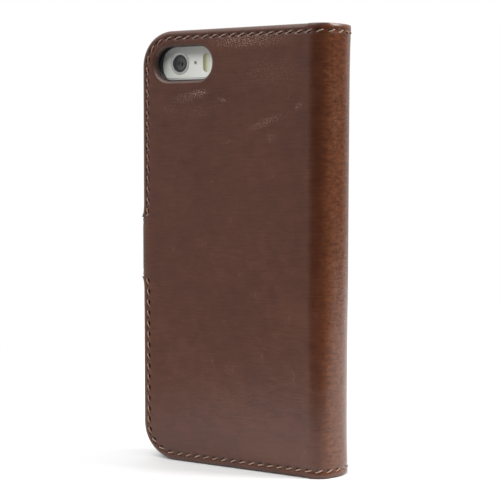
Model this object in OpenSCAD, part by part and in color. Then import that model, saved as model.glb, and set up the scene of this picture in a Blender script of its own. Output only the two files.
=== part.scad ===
// Book-style wallet case for a slim four-inch phone, standing closed on its bottom edge.
// +Z is up. The back's outer face is the plane y = 0 and faces -Y, the cover is at +Y,
// the spine at +X and the free edge, with its closing strap, at -X.
// The origin is the middle of the bottom edge of the back's outer face.

/* [Case] */
// Height of the case
case_h = 130; // [115:1:170]
// Width of the closed case, free edge to spine
case_w = 65; // [58:1:95]
// Corner radius at the free edge
corner_r = 10; // [4:0.5:14]
// Outer radius of the two leather bends at the spine
fold_r = 5; // [4:0.1:6]

/* [Sheet materials] */
// Thickness of the outer leather
skin_t = 0.8; // [0.6:0.1:1.2]
// Thickness of the fibreboard in the back and cover
board_t = 1.0; // [0.8:0.1:1.6]
// Thickness of the stiffener in the spine
stiffener_t = 0.7; // [0.5:0.1:1.2]
// Thickness of the fabric lining
lining_t = 0.5; // [0.3:0.1:0.8]
// Thickness of the sheet that each pocket is cut from
pocket_t = 0.5; // [0.3:0.1:0.8]
// Width of the leather rim that is turned round a board's edge
turn_w = 0.7; // [0.5:0.1:1.5]
// Distance that the boards stop short of the bends at the spine
board_gap = 2; // [1:0.5:4]

/* [Stitching] */
// Distance of the stitch line from the edge
stitch_inset = 2.2; // [1.8:0.1:3.5]
// Distance from one stitch to the next
stitch_pitch = 3.3; // [2.5:0.1:5]
// Visible length of a stitch
stitch_l = 2.5; // [1.5:0.1:3]
// Width of the thread
thread_w = 0.55; // [0.3:0.05:0.8]
// Depth of the groove that the thread lies in
groove_d = 0.3; // [0.2:0.05:0.4]
// Width of that groove
groove_w = 1.0; // [0.8:0.1:1.4]
// Slant of each stitch, in degrees
stitch_slant = 8; // [0:1:15]

/* [Phone] */
// Width of the phone
phone_w = 58.6; // [50:0.1:70]
// Height of the phone
phone_h = 123.8; // [105:0.1:150]
// Thickness of the phone
phone_t = 7.6; // [6:0.1:10]
// Corner radius of the phone
phone_corner_r = 9; // [5:0.5:12]
// Distance from the case's free edge to the phone
phone_side_gap = 2.3; // [2.2:0.1:4]
// Distance from the case's bottom edge to the phone
phone_foot_gap = 3.1; // [2.2:0.1:5]
// Camera lens diameter
lens_d = 5.3; // [4:0.1:8]
// Camera lens centre, from the phone's side
lens_side = 8.5; // [6:0.1:14]
// Camera lens centre, from the phone's top
lens_drop = 6.2; // [5:0.1:10]
// Width of the bright ring round the lens
lens_ring_w = 0.8; // [0.5:0.1:1.2]
// Distance from the lens centre to the flash centre
flash_offset = 9.8; // [8:0.1:14]
// Width of the flash window
flash_w = 2.3; // [1.5:0.1:4]
// Height of the flash window
flash_h = 5.6; // [3:0.1:7]
// Distance from the lens centre to the microphone hole
mic_offset = 5.8; // [5:0.1:6.5]
// Diameter of the microphone hole
mic_d = 1.0; // [0.6:0.1:1.5]
// Depth of the lens ring in the phone's back
ring_depth = 1.6; // [1:0.1:3]
// How far the lens lies below the phone's back
lens_sink = 0.15; // [0.05:0.05:0.5]
// Height of the glass strip across the top of the phone's back
glass_strip_h = 10.6; // [9.6:0.1:14]
// Width of the metal rim round the glass strip
strip_rim = 1.0; // [0.6:0.1:2]
// Thickness of the phone's glass panels
glass_t = 0.7; // [0.5:0.1:1]
// Width of the metal rim round the front glass
glass_rim = 1.2; // [0.8:0.1:2]

/* [Camera window] */
// Width of the window in the leather
window_w = 20.5; // [18:0.1:30]
// Height of the window in the leather
window_h = 10.2; // [8:0.1:14]
// Window centre beyond the lens centre, across the case
window_shift = 4.1; // [2:0.1:6]
// Window centre below the lens centre
window_drop = 0.4; // [0:0.1:2]
// How much wider all round the tray's own window is
tray_window_gap = 0.2; // [0.2:0.1:1.5]

/* [Phone tray] */
// Thickness of the tape between the back and the tray
tape_t = 0.2; // [0.1:0.05:0.5]
// Inset of the tape from the tray's sides
tape_inset = 4; // [2:0.5:10]
// How much wider all round the tape's window is
tape_window_gap = 3; // [1:0.5:5]
// Thickness of the tray's back
tray_back_t = 1.2; // [1:0.1:2]
// Thickness of the tray's walls
tray_wall = 1.0; // [0.8:0.1:1.3]
// Width of the bevel along the tray's two long back edges
tray_bevel = 1.2; // [0.5:0.1:1.4]
// Thickness of the lip in front of the phone
tray_lip_t = 0.7; // [0.5:0.1:1.5]
// How far the lip reaches over the phone's front
tray_lip_w = 1.2; // [0.6:0.1:2]
// Clearance between the phone and the tray's sides
phone_side_clear = 0.2; // [0.15:0.05:0.3]
// Clearance between the phone and the tray's back, foot and lip
phone_face_clear = 0.1; // [0.05:0.05:0.3]
// How far the phone stands out of the tray at the top
tray_top_drop = 1; // [0:0.5:20]
// Width of the port opening in the tray's foot
port_w = 24; // [10:1:40]
// Length of the key opening in the tray's side
key_opening_l = 26; // [10:1:40]
// Distance from the phone's top to the key opening
key_opening_drop = 14; // [11:1:30]
// Wall left at the front and back of both openings
opening_wall = 1.0; // [0.6:0.1:2]

/* [Cover] */
// Clearance between the tray's lip and the innermost card slot
cover_gap = 0.7; // [0.5:0.1:1.5]
// Distance from the spine fold to the note pocket's opening
note_edge = 3.5; // [2:0.5:6]
// Step from one pocket opening to the next
slot_step = 9; // [6:0.5:11]
// Inset of the pockets from the cover's edge
pocket_inset = 1.0; // [0.6:0.1:1.8]
// Length, across the case, of the steel plate that the magnet holds
keeper_l = 12; // [8:1:16]
// Height of that plate
keeper_h = 14; // [8:1:18]
// Thickness of that plate
keeper_t = 0.5; // [0.3:0.1:0.7]

/* [Strap] */
// Width of the strap
strap_w = 18.2; // [12:0.1:30]
// Height of the strap's middle as a share of the case's height
strap_place = 0.5; // [0.3:0.05:0.7]
// Thickness of the strap's lining
strap_lining_t = 0.5; // [0.3:0.1:0.8]
// Air between the strap and the case's edge and cover
strap_gap = 0.3; // [0.25:0.05:1]
// Length of the bare leather at the strap's front bend
strap_fold_l = 2.2; // [1.6:0.1:4]
// Length of the strap's tab
tab_l = 20; // [16:1:30]
// Corner radius of the tab
tab_corner_r = 7; // [3:0.5:9]
// Thickness of the tab's padded lining
tab_lining_t = 1.5; // [1.3:0.1:2]
// Distance of the strap's stitch line from its edge
tab_inset = 1.8; // [1.5:0.1:2.5]
// Length of the magnet, along the tab
magnet_l = 10; // [6:1:14]
// Height of the magnet, across the tab
magnet_h = 10; // [6:1:11]
// Thickness of the magnet
magnet_t = 1.0; // [0.5:0.1:1.1]

/* [Hidden] */
$fn = 96;

// Colours
LEATHER = [0.36, 0.25, 0.21];
LEATHER_DARK = [0.30, 0.20, 0.17];
THREAD = [0.78, 0.58, 0.42];
LINING = [0.30, 0.22, 0.18];
BOARD = [0.62, 0.52, 0.40];
BLACK = [0.09, 0.09, 0.09];
SILVER = [0.80, 0.80, 0.79];

slot_count = 3;

// Panel layers, from the back's outer face inwards
panel_t = skin_t + board_t + lining_t;
tray_y = panel_t + tape_t;
phone_y = tray_y + tray_back_t + phone_face_clear;
lip_y = phone_y + phone_t + phone_face_clear;
pockets_t = pocket_t * (1 + slot_count);
pockets_y = lip_y + tray_lip_t + cover_gap;
// Thickness of the closed case
case_t = pockets_y + pockets_t + panel_t;

// Panel outline and spine
free_x = -case_w / 2;
spine_x = case_w / 2;
bend_x = spine_x - fold_r;
bend_t = skin_t + lining_t;
spine_t = skin_t + stiffener_t + lining_t;

// Phone, lens and window
phone_x = free_x + phone_side_gap;
phone_z = phone_foot_gap;
phone_top = phone_z + phone_h;
lens_x = phone_x + lens_side;
lens_z = phone_top - lens_drop;
window_x = lens_x + window_shift;
window_z = lens_z - window_drop;

// Tray
cavity_x = phone_x - phone_side_clear;
cavity_w = phone_w + 2 * phone_side_clear;
cavity_z = phone_z - phone_face_clear;
cavity_r = phone_corner_r + phone_side_clear;
tray_top = phone_top - tray_top_drop;
opening_y = phone_y + opening_wall;
opening_t = phone_t - 2 * opening_wall;

// Strap
strap_t = skin_t + strap_lining_t;
strap_in_x = free_x - strap_gap;
strap_bend_r = strap_gap + strap_t;
strap_z = case_h * strap_place - strap_w / 2;
strap_axis_y = case_t + strap_gap + strap_lining_t;
strap_fold_y = strap_axis_y - strap_fold_l / 2;
tab_y = strap_axis_y + strap_fold_l / 2;
tab_t = skin_t + tab_lining_t;
tab_stitch_r = tab_corner_r - tab_inset;

cut = 1;

// A flat sheet parallel to the back, from y0 to y0 + t; the outline is drawn in x and z
module sheet(y0, t) {
    translate([0, y0 + t, 0]) rotate([90, 0, 0]) linear_extrude(t) children();
}

// A flat sheet parallel to the spine, from x0 to x0 + t; the outline is drawn in y and z
module side_sheet(x0, t) {
    translate([x0, 0, 0]) rotate([90, 0, 90]) linear_extrude(t) children();
}

// The back's and cover's outline, pulled in on its three sewn sides
module panel_outline(inset = 0, right = bend_x) {
    r = corner_r - inset;
    left = free_x + inset;
    translate([left + r, inset]) square([right - left - r, case_h - 2 * inset]);
    translate([left, inset + r]) square([right - left, case_h - 2 * inset - 2 * r]);
    for (z = [inset + r, case_h - inset - r]) translate([left + r, z]) circle(r);
}

// A rectangle with rounded corners, from its lower left corner
module rounded(w, h, r) {
    translate([r, 0]) square([w - 2 * r, h]);
    translate([0, r]) square([w, h - 2 * r]);
    for (x = [r, w - r], z = [r, h - r]) translate([x, z]) circle(r);
}

// A slot with full round ends, centred: run is the distance between the ends' centres
module pill(run, r) {
    square([run, 2 * r], center = true);
    for (side = [-1, 1]) translate([side * run / 2, 0]) circle(r);
}

// The camera window, wider all round by grow
module window_outline(grow = 0) {
    translate([window_x, window_z]) pill(window_w - window_h, window_h / 2 + grow);
}

// The band of the stitch groove along the three sewn sides
module groove_outline(right = bend_x) {
    difference() {
        panel_outline(stitch_inset - groove_w / 2, right);
        panel_outline(stitch_inset + groove_w / 2, right + cut);
    }
}

// One stitch, centred
module stitch() {
    rotate(stitch_slant) square([stitch_l, thread_w], center = true);
}

// Stitches spread evenly from p to q
module stitch_row(p, q) {
    run = q - p;
    count = max(1, floor(norm(run) / stitch_pitch));
    for (i = [0:count - 1])
        translate(p + run * (i + 0.5) / count) rotate(atan2(run[1], run[0])) stitch();
}

// Stitches spread evenly round an arc
module stitch_arc(centre, r, from, to) {
    count = max(1, floor(PI * r * abs(to - from) / 180 / stitch_pitch));
    for (i = [0:count - 1]) {
        a = from + (to - from) * (i + 0.5) / count;
        translate(centre + r * [cos(a), sin(a)]) rotate(a + 90) stitch();
    }
}

// The stitch line along the bottom, free edge and top; gap is a stretch left bare
module panel_stitches(gap_from, gap_to) {
    left = free_x + stitch_inset;
    top = case_h - stitch_inset;
    r = corner_r - stitch_inset;
    for (z = [stitch_inset, top]) stitch_row([left + r, z], [bend_x, z]);
    stitch_arc([left + r, stitch_inset + r], r, 180, 270);
    stitch_arc([left + r, top - r], r, 90, 180);
    stitch_row([left, stitch_inset + r], [left, gap_from]);
    stitch_row([left, gap_to], [left, top - r]);
}

// A quarter turn of leather of outer radius r round an upright line, from the angle given
module quarter_bend(r, t, height, from) {
    linear_extrude(height) rotate(from) difference() {
        intersection() {
            circle(r);
            square(r);
        }
        circle(r - t);
    }
}

// ---- Back ----

module back_skin() {
    color(LEATHER) difference() {
        sheet(0, skin_t + board_t) panel_outline();
        // room for the board inside the turned rim
        difference() {
            sheet(skin_t, board_t + cut) panel_outline(turn_w, bend_x + cut);
            sheet(0, panel_t + cut) window_outline(turn_w);
        }
        sheet(-cut, panel_t + 2 * cut) window_outline();
        difference() {
            sheet(-cut, cut + groove_d) groove_outline(bend_x + cut);
            // the strap leaves here, so the stitch line stops
            translate([free_x - cut, -2 * cut, strap_z])
                cube([corner_r, 3 * cut + groove_d, strap_w]);
        }
    }
}

module back_board() {
    color(BOARD) sheet(skin_t, board_t) difference() {
        panel_outline(turn_w, bend_x - board_gap);
        window_outline(turn_w);
    }
}

module back_lining() {
    color(LINING) sheet(skin_t + board_t, lining_t) difference() {
        panel_outline();
        window_outline();
    }
}

module back_stitches() {
    color(THREAD) sheet(0, groove_d) panel_stitches(strap_z, strap_z + strap_w);
}

module tray_tape() {
    color(BLACK) sheet(panel_t, tape_t) difference() {
        translate([cavity_x + tape_inset, cavity_z + tape_inset])
            square([cavity_w - 2 * tape_inset, tray_top - cavity_z - 2 * tape_inset]);
        window_outline(tape_window_gap);
    }
}

// The tray's outline, open at the top, wider all round by grow
module tray_outline(grow, top) {
    r = cavity_r + grow;
    w = cavity_w + 2 * grow;
    intersection() {
        translate([cavity_x - grow, cavity_z - grow]) rounded(w, top - cavity_z + 3 * r, r);
        translate([cavity_x - grow, cavity_z - grow]) square([w, top - cavity_z + grow]);
    }
}

module phone_tray() {
    cavity_y = phone_y - phone_face_clear;
    color(BLACK) difference() {
        sheet(tray_y, lip_y + tray_lip_t - tray_y) tray_outline(tray_wall, tray_top);
        sheet(cavity_y, lip_y - cavity_y) tray_outline(0, tray_top + cut);
        sheet(lip_y - cut, tray_lip_t + 2 * cut) tray_outline(-tray_lip_w, tray_top + cut);
        sheet(tray_y - cut, tray_back_t + 2 * cut) window_outline(tray_window_gap);
        for (x = [cavity_x - tray_wall, cavity_x + cavity_w + tray_wall])
            translate([x, tray_y, cavity_z - tray_wall - cut]) rotate(45)
                cube([tray_bevel * sqrt(2), tray_bevel * sqrt(2), 2 * case_h], center = true);
        // port opening in the foot
        translate([phone_x + (phone_w - port_w) / 2, opening_y, cavity_z - tray_wall - cut])
            cube([port_w, opening_t, tray_wall + 2 * cut]);
        // key opening in the wall beside the spine
        translate([cavity_x + cavity_w - cut, opening_y,
                   phone_top - key_opening_drop - key_opening_l])
            cube([tray_wall + 2 * cut, opening_t, key_opening_l]);
    }
}

// ---- Spine ----

// Outline of a spine layer in y and z, pulled in at both ends
module spine_outline(inset = 0) {
    translate([fold_r, inset]) square([case_t - 2 * fold_r, case_h - 2 * inset]);
}

module spine_skin() {
    color(LEATHER) difference() {
        side_sheet(spine_x - skin_t - stiffener_t, skin_t + stiffener_t) spine_outline();
        // room for the stiffener between the rims turned at both ends
        translate([spine_x - spine_t, fold_r - cut, turn_w])
            cube([lining_t + stiffener_t, case_t - 2 * fold_r + 2 * cut, case_h - 2 * turn_w]);
        for (z = [stitch_inset, case_h - stitch_inset])
            translate([spine_x - groove_d, fold_r - cut, z - groove_w / 2])
                cube([groove_d + cut, case_t - 2 * fold_r + 2 * cut, groove_w]);
    }
}

module spine_stiffener() {
    color(BOARD) side_sheet(spine_x - skin_t - stiffener_t, stiffener_t) spine_outline(turn_w);
}

module spine_lining() {
    color(LINING) side_sheet(spine_x - spine_t, lining_t) spine_outline();
}

module spine_stitches() {
    color(THREAD) side_sheet(spine_x - groove_d, groove_d)
        for (z = [stitch_inset, case_h - stitch_inset])
            stitch_row([fold_r, z], [case_t - fold_r, z]);
}

module back_fold() {
    color(LEATHER_DARK) translate([bend_x, fold_r, 0])
        quarter_bend(fold_r, bend_t, case_h, 270);
}

module front_fold() {
    color(LEATHER_DARK) translate([bend_x, case_t - fold_r, 0])
        quarter_bend(fold_r, bend_t, case_h, 0);
}

// ---- Cover ----

module cover_skin() {
    color(LEATHER) difference() {
        sheet(case_t - skin_t - board_t, skin_t + board_t) panel_outline();
        sheet(case_t - panel_t, lining_t + board_t) panel_outline(turn_w, bend_x + cut);
        sheet(case_t - groove_d, groove_d + cut) groove_outline(bend_x + cut);
    }
}

// Where the magnet lands on the closed cover, from its lower left corner
module keeper_outline() {
    magnet_mid = strap_in_x - strap_lining_t + strap_fold_l / 2 + tab_l / 2;
    translate([magnet_mid, strap_z + strap_w / 2]) square([keeper_l, keeper_h], center = true);
}

module cover_board() {
    color(BOARD) difference() {
        sheet(case_t - skin_t - board_t, board_t) panel_outline(turn_w, bend_x - board_gap);
        sheet(case_t - skin_t - keeper_t, keeper_t + cut) keeper_outline();
    }
}

module keeper_plate() {
    color(SILVER) sheet(case_t - skin_t - keeper_t, keeper_t) keeper_outline();
}

module cover_lining() {
    color(LINING) sheet(case_t - panel_t, lining_t) panel_outline();
}

module cover_stitches() {
    color(THREAD) sheet(case_t - groove_d, groove_d)
        panel_stitches(case_h / 2, case_h / 2);
}

// Where layer k of the pocket stack opens: 0 is the note pocket, then the card slots
function pocket_edge(k) = bend_x - note_edge - k * slot_step;
function pocket_face(k) = case_t - panel_t - (k + 1) * pocket_t;

// Layer k of the pocket stack, with the groove of its edge stitching
module pocket(k) {
    difference() {
        sheet(pocket_face(k), pocket_t) panel_outline(pocket_inset, pocket_edge(k));
        translate([pocket_edge(k) - stitch_inset - groove_w / 2, pocket_face(k) - cut, 0])
            cube([groove_w, cut + pocket_t / 2, case_h]);
    }
}

module note_pocket() { color(LINING) pocket(0); }
module card_slot_1() { color(LEATHER_DARK) pocket(1); }
module card_slot_2() { color(LEATHER_DARK) pocket(2); }
module card_slot_3() { color(LEATHER_DARK) pocket(3); }

module pocket_stitches() {
    color(THREAD) for (k = [0:slot_count]) sheet(pocket_face(k), pocket_t / 2) {
        x = pocket_edge(k) - stitch_inset;
        stitch_row([x, pocket_inset], [x, case_h - pocket_inset]);
    }
}

// ---- Strap ----

module strap_root_fold() {
    color(LEATHER_DARK) translate([free_x, strap_bend_r, strap_z])
        quarter_bend(strap_bend_r, strap_t, strap_w, 180);
}

// The strap's length beside the case's free edge, in y and z
module strap_outline() {
    translate([strap_bend_r, strap_z]) square([strap_fold_y - strap_bend_r, strap_w]);
}

module strap_skin() {
    color(LEATHER) difference() {
        side_sheet(strap_in_x - strap_t, skin_t) strap_outline();
        for (z = [strap_z + tab_inset, strap_z + strap_w - tab_inset])
            translate([strap_in_x - strap_t - cut, strap_bend_r - cut, z - groove_w / 2])
                cube([cut + groove_d, strap_fold_y - strap_bend_r + 2 * cut, groove_w]);
    }
}

module strap_lining() {
    color(LINING) side_sheet(strap_in_x - strap_lining_t, strap_lining_t) strap_outline();
}

module strap_stitches() {
    color(THREAD) side_sheet(strap_in_x - strap_t, groove_d)
        for (z = [strap_z + tab_inset, strap_z + strap_w - tab_inset])
            stitch_row([strap_bend_r, z], [strap_fold_y, z]);
}

module strap_front_fold() {
    color(LEATHER_DARK) side_sheet(strap_in_x - strap_t, strap_t)
        translate([strap_fold_y, strap_z]) square([strap_fold_l, strap_w]);
}

// The tab, square at the bend and rounded at its end, pulled in all round
module tab_outline(inset = 0) {
    r = tab_corner_r - inset;
    w = strap_w - 2 * inset;
    intersection() {
        translate([tab_y - 2 * r, strap_z + inset]) rounded(tab_l + 2 * r - inset, w, r);
        translate([tab_y, strap_z]) square([tab_l, strap_w]);
    }
}

module tab_skin() {
    color(LEATHER) difference() {
        side_sheet(strap_in_x - tab_t, skin_t) tab_outline();
        side_sheet(strap_in_x - tab_t - cut, cut + groove_d) difference() {
            tab_outline(tab_inset - groove_w / 2);
            tab_outline(tab_inset + groove_w / 2);
        }
    }
}

module magnet_outline() {
    translate([tab_y + tab_l / 2, strap_z + strap_w / 2])
        square([magnet_l, magnet_h], center = true);
}

module tab_lining() {
    color(LINING) difference() {
        side_sheet(strap_in_x - tab_lining_t, tab_lining_t) tab_outline();
        side_sheet(strap_in_x - tab_lining_t - cut, cut + magnet_t) magnet_outline();
    }
}

module magnet() {
    color(SILVER) side_sheet(strap_in_x - tab_lining_t, magnet_t) magnet_outline();
}

module tab_stitches() {
    low = strap_z + tab_inset;
    high = strap_z + strap_w - tab_inset;
    end = tab_y + tab_l - tab_inset;
    r = tab_stitch_r;
    color(THREAD) side_sheet(strap_in_x - tab_t, groove_d) {
        for (z = [low, high]) stitch_row([tab_y, z], [end - r, z]);
        stitch_arc([end - r, low + r], r, 270, 360);
        stitch_arc([end - r, high - r], r, 0, 90);
        stitch_row([end, low + r], [end, high - r]);
    }
}

// ---- Phone ----

// The phone's face, pulled in all round
module phone_outline(inset = 0) {
    translate([phone_x + inset, phone_z + inset])
        rounded(phone_w - 2 * inset, phone_h - 2 * inset, phone_corner_r - inset);
}

module lens_circle(r) {
    translate([lens_x, lens_z]) circle(r);
}

module flash_outline() {
    translate([lens_x + flash_offset, lens_z]) rotate(90) pill(flash_h - flash_w, flash_w / 2);
}

// The rear glass strip across the top of the phone's back
module strip_outline() {
    intersection() {
        phone_outline(strip_rim);
        translate([phone_x, phone_top - glass_strip_h]) square([phone_w, glass_strip_h]);
    }
}

module phone_shell() {
    color(SILVER) difference() {
        sheet(phone_y, phone_t) phone_outline();
        sheet(phone_y + phone_t - glass_t, glass_t + cut) phone_outline(glass_rim);
        sheet(phone_y - cut, cut + glass_t) strip_outline();
        sheet(phone_y - cut, cut + ring_depth) lens_circle(lens_d / 2 + lens_ring_w);
    }
}

module front_glass() {
    color(BLACK) sheet(phone_y + phone_t - glass_t, glass_t) phone_outline(glass_rim);
}

module rear_glass() {
    color(SILVER) sheet(phone_y, glass_t) difference() {
        strip_outline();
        lens_circle(lens_d / 2 + lens_ring_w);
        flash_outline();
        translate([lens_x + mic_offset, lens_z]) circle(mic_d / 2);
    }
}

module camera_ring() {
    color(SILVER) sheet(phone_y, ring_depth) difference() {
        lens_circle(lens_d / 2 + lens_ring_w);
        lens_circle(lens_d / 2);
    }
}

module camera_lens() {
    color(BLACK) sheet(phone_y + lens_sink, ring_depth - lens_sink) lens_circle(lens_d / 2);
}

module flash_window() {
    color([0.85, 0.80, 0.60]) sheet(phone_y, glass_t) flash_outline();
}

back_skin();
back_board();
back_lining();
back_stitches();
tray_tape();
phone_tray();
spine_skin();
spine_stiffener();
spine_lining();
spine_stitches();
back_fold();
front_fold();
cover_skin();
cover_board();
cover_lining();
cover_stitches();
keeper_plate();
note_pocket();
card_slot_1();
card_slot_2();
card_slot_3();
pocket_stitches();
strap_root_fold();
strap_skin();
strap_lining();
strap_stitches();
strap_front_fold();
tab_skin();
tab_lining();
tab_stitches();
magnet();
phone_shell();
front_glass();
rear_glass();
camera_ring();
camera_lens();
flash_window();
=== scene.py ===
import math

import bmesh
import bpy
import numpy as np
from mathutils import Matrix, Vector, geometry


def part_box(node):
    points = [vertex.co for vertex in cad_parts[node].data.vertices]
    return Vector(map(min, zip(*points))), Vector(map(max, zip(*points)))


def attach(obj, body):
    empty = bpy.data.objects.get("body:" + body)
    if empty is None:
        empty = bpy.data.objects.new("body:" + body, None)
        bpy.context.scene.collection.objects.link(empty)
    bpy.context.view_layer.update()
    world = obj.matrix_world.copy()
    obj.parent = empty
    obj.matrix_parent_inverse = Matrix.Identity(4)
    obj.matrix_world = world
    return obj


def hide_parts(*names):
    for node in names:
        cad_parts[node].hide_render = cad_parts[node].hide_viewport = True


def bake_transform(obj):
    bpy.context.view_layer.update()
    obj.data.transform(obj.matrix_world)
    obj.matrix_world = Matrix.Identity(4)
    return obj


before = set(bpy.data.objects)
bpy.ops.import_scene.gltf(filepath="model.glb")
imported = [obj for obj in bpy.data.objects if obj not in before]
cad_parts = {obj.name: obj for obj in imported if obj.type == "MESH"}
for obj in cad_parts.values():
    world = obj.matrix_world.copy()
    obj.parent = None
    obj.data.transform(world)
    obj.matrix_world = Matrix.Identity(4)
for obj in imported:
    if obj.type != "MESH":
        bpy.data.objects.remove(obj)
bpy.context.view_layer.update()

# ---- The set ----
# A small white floor stands in a pale tent of light, darker towards the camera
# and low on the right, with a soft lamp on the right and a wider one above the back's side.

mm = 0.001
scene = bpy.context.scene
scene.view_settings.view_transform = "Standard"
scene.view_settings.look = "None"


def look_frame(position, target):
    """The matrix of a lamp or camera at position that faces target."""
    ahead = (target - position).normalized()
    right = ahead.cross(Vector((0, 0, 1))).normalized()
    matrix = Matrix((right, right.cross(ahead), -ahead)).transposed().to_4x4()
    matrix.translation = position
    return matrix


def towards(azimuth, elevation):
    """The direction of an azimuth and elevation in degrees; azimuth 0 is the back's side."""
    a, e = math.radians(azimuth), math.radians(elevation)
    return Vector((math.sin(a) * math.cos(e), -math.cos(a) * math.cos(e), math.sin(e)))


aim = Vector((4.5, 2.9, 65.1)) * mm
lens_data = bpy.data.cameras.new("camera")
lens_data.sensor_width = 36
lens_data.lens = 110.4
lens_data.clip_start = 0.01
lens_data.clip_end = 60
camera = bpy.data.objects.new("camera", lens_data)
camera.matrix_world = look_frame(aim + towards(34, 3.43) * 452 * mm, aim)
scene.collection.objects.link(camera)
scene.camera = camera

floor_far, floor_near, floor_left = 0.5, 0.11, 0.11
floor_mesh = bpy.data.meshes.new("floor")
floor_ahead, floor_side = towards(34, 0), towards(124, 0)
floor_corners = [floor_ahead * a + floor_side * b for a, b in (
    (floor_near, -floor_left), (floor_near, floor_far), (-floor_far, floor_far), (-floor_far, -floor_left))]
floor_mesh.from_pydata(floor_corners, [], [(0, 1, 2, 3)])
floor = bpy.data.objects.new("floor", floor_mesh)
scene.collection.objects.link(floor)
floor_paint = bpy.data.materials.new("floor_paint")
floor_paint.use_nodes = True
floor_shader = floor_paint.node_tree.nodes["Principled BSDF"]
floor_shader.inputs["Base Color"].default_value = (0.72, 0.72, 0.72, 1)
floor_shader.inputs["Roughness"].default_value = 0.6
floor_mesh.materials.append(floor_paint)

sky = bpy.data.worlds.new("sky")
sky.use_nodes = True
sky_nodes, sky_links = sky.node_tree.nodes, sky.node_tree.links


def sky_node(kind, settings, inputs, output=0):
    made = sky_nodes.new(kind)
    for key, value in settings.items():
        setattr(made, key, value)
    for key, value in inputs.items():
        if isinstance(value, bpy.types.NodeSocket):
            sky_links.new(value, made.inputs[key])
        else:
            made.inputs[key].default_value = value
    return made.outputs[output]


sky_way = sky_node("ShaderNodeTexCoord", {}, {}, "Generated")
sky_dark = sky_node("ShaderNodeVectorMath", {"operation": "DOT_PRODUCT"}, {0: sky_way, 1: towards(68, 0)},
    "Value")
sky_up = sky_node("ShaderNodeVectorMath", {"operation": "DOT_PRODUCT"}, {0: sky_way, 1: (0, 0, 1)}, "Value")
smooth = {"interpolation_type": "SMOOTHSTEP"}
low_glow = sky_node("ShaderNodeMapRange", smooth, {
    "Value": sky_dark, "From Min": -0.25, "From Max": 0.35, "To Min": 0.62, "To Max": 0.06})
high_glow = sky_node("ShaderNodeMapRange", smooth, {"Value": sky_up, "From Min": 0.35, "From Max": 0.75})
glow = sky_node("ShaderNodeMix", {"data_type": "FLOAT"}, {"Factor": high_glow, 2: low_glow, 3: 1.4})
sky_light = sky_node("ShaderNodeBackground", {}, {"Color": (1, 1, 1, 1), "Strength": glow})
sky_seen = sky_node("ShaderNodeBackground", {}, {"Color": (1, 1, 1, 1), "Strength": 1.0})
sky_ray = sky_node("ShaderNodeLightPath", {}, {}, "Is Camera Ray")
sky_pick = sky_node("ShaderNodeMixShader", {}, {0: sky_ray, 1: sky_light, 2: sky_seen})
sky_links.new(sky_pick, sky_nodes["World Output"].inputs["Surface"])
scene.world = sky

for lamp_name, side, energy, where_from in (
        ("key_lamp", 0.5, 15.5, towards(118, 36)), ("fill_lamp", 0.8, 10, towards(-10, 52))):
    lamp_data = bpy.data.lights.new(lamp_name, "AREA")
    lamp_data.shape = "RECTANGLE"
    lamp_data.size, lamp_data.size_y = side, side
    lamp_data.energy = energy
    lamp = bpy.data.objects.new(lamp_name, lamp_data)
    lamp.matrix_world = look_frame(aim + where_from * 1.2, aim)
    lamp.visible_camera = False
    scene.collection.objects.link(lamp)


# ---- Back and cover leather ----
# One hide of waxed brown leather covers back, spine and cover. It is turned round the boards'
# edges, sewn near its edge and pulled round two soft bends. Two pieces meet in mid spine,
# because each can bend at one joint only.


def mm_box(node):
    """A CAD node's lowest and highest corner, in millimetres."""
    low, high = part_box(node)
    return low * 1000, high * 1000


back_low, back_high = mm_box("back_skin")
spine_high = mm_box("spine_skin")[1]
strap_low, strap_high = mm_box("strap_skin")
free_x, spine_x = back_low.x, spine_high.x
height = back_high.z
case_t = mm_box("cover_skin")[1].y
skin_t = mm_box("back_board")[0].y
rim_t = back_high.y
lining_t = mm_box("back_lining")[1].y - rim_t
corner_low, corner_high = 11.1, 10.2
seam_inset = 2.2

# The hide's path seen from above: flat, then a bend, then the gentle bulge of the spine
bend_r = 6.0
bend_turn = math.radians(65)
bulge_r = (case_t / 2 - bend_r * (1 - math.cos(bend_turn))) / math.cos(bend_turn)
bend_x = spine_x - bulge_r * (1 - math.sin(bend_turn)) - bend_r * math.sin(bend_turn)
flat_len = bend_x - free_x
bend_len = bend_r * bend_turn
hide_len = flat_len + bend_len + bulge_r * (math.pi / 2 - bend_turn)

strap_mid = (strap_low.z + strap_high.z) / 2
strap_half = (strap_high.z - strap_low.z) / 2
strap_join = 5.0


def ease(value, low, high):
    """0 below low, 1 above high and a smooth step between."""
    t = np.clip((value - low) / (high - low), 0, 1)
    return t * t * (3 - 2 * t)


def hide_to_case(s, z, depth, mirrored):
    """Places hide points: s from the free edge towards the spine, z up, depth inwards."""
    s, z, depth = (np.asarray(v, float) for v in np.broadcast_arrays(s, z, depth))
    bend = np.clip((s - flat_len) / bend_r, 0, bend_turn)
    beyond = np.maximum(s - flat_len - bend_len, 0)
    turn = bend + beyond / bulge_r
    x = np.where(s < flat_len, free_x + s, bend_x + bend_r * np.sin(bend))
    y = bend_r * (1 - np.cos(bend))
    x = x + bulge_r * (np.sin(turn) - np.sin(bend))
    y = y + bulge_r * (np.cos(bend) - np.cos(turn))
    from_end = np.minimum(z, height - z)
    at_spine = ease(s, flat_len - 2, flat_len + 8)
    out = (0.45 * np.exp(-from_end / 5) + 0.0047 * (z - 15)) * at_spine
    x = x - np.sin(turn) * (depth - out)
    y = y + np.cos(turn) * (depth - out)
    puff = 1.0 + 0.3 * (1 - ease(np.abs(z - strap_mid), strap_half, strap_half + 4))
    x = x - puff * (1 - ease(s, 0, 14))
    z = z + 0.35 * ease(z, height - 14, height)
    if mirrored:
        y = case_t - y
    return np.stack([x, y, z], axis=-1) * mm


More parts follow.
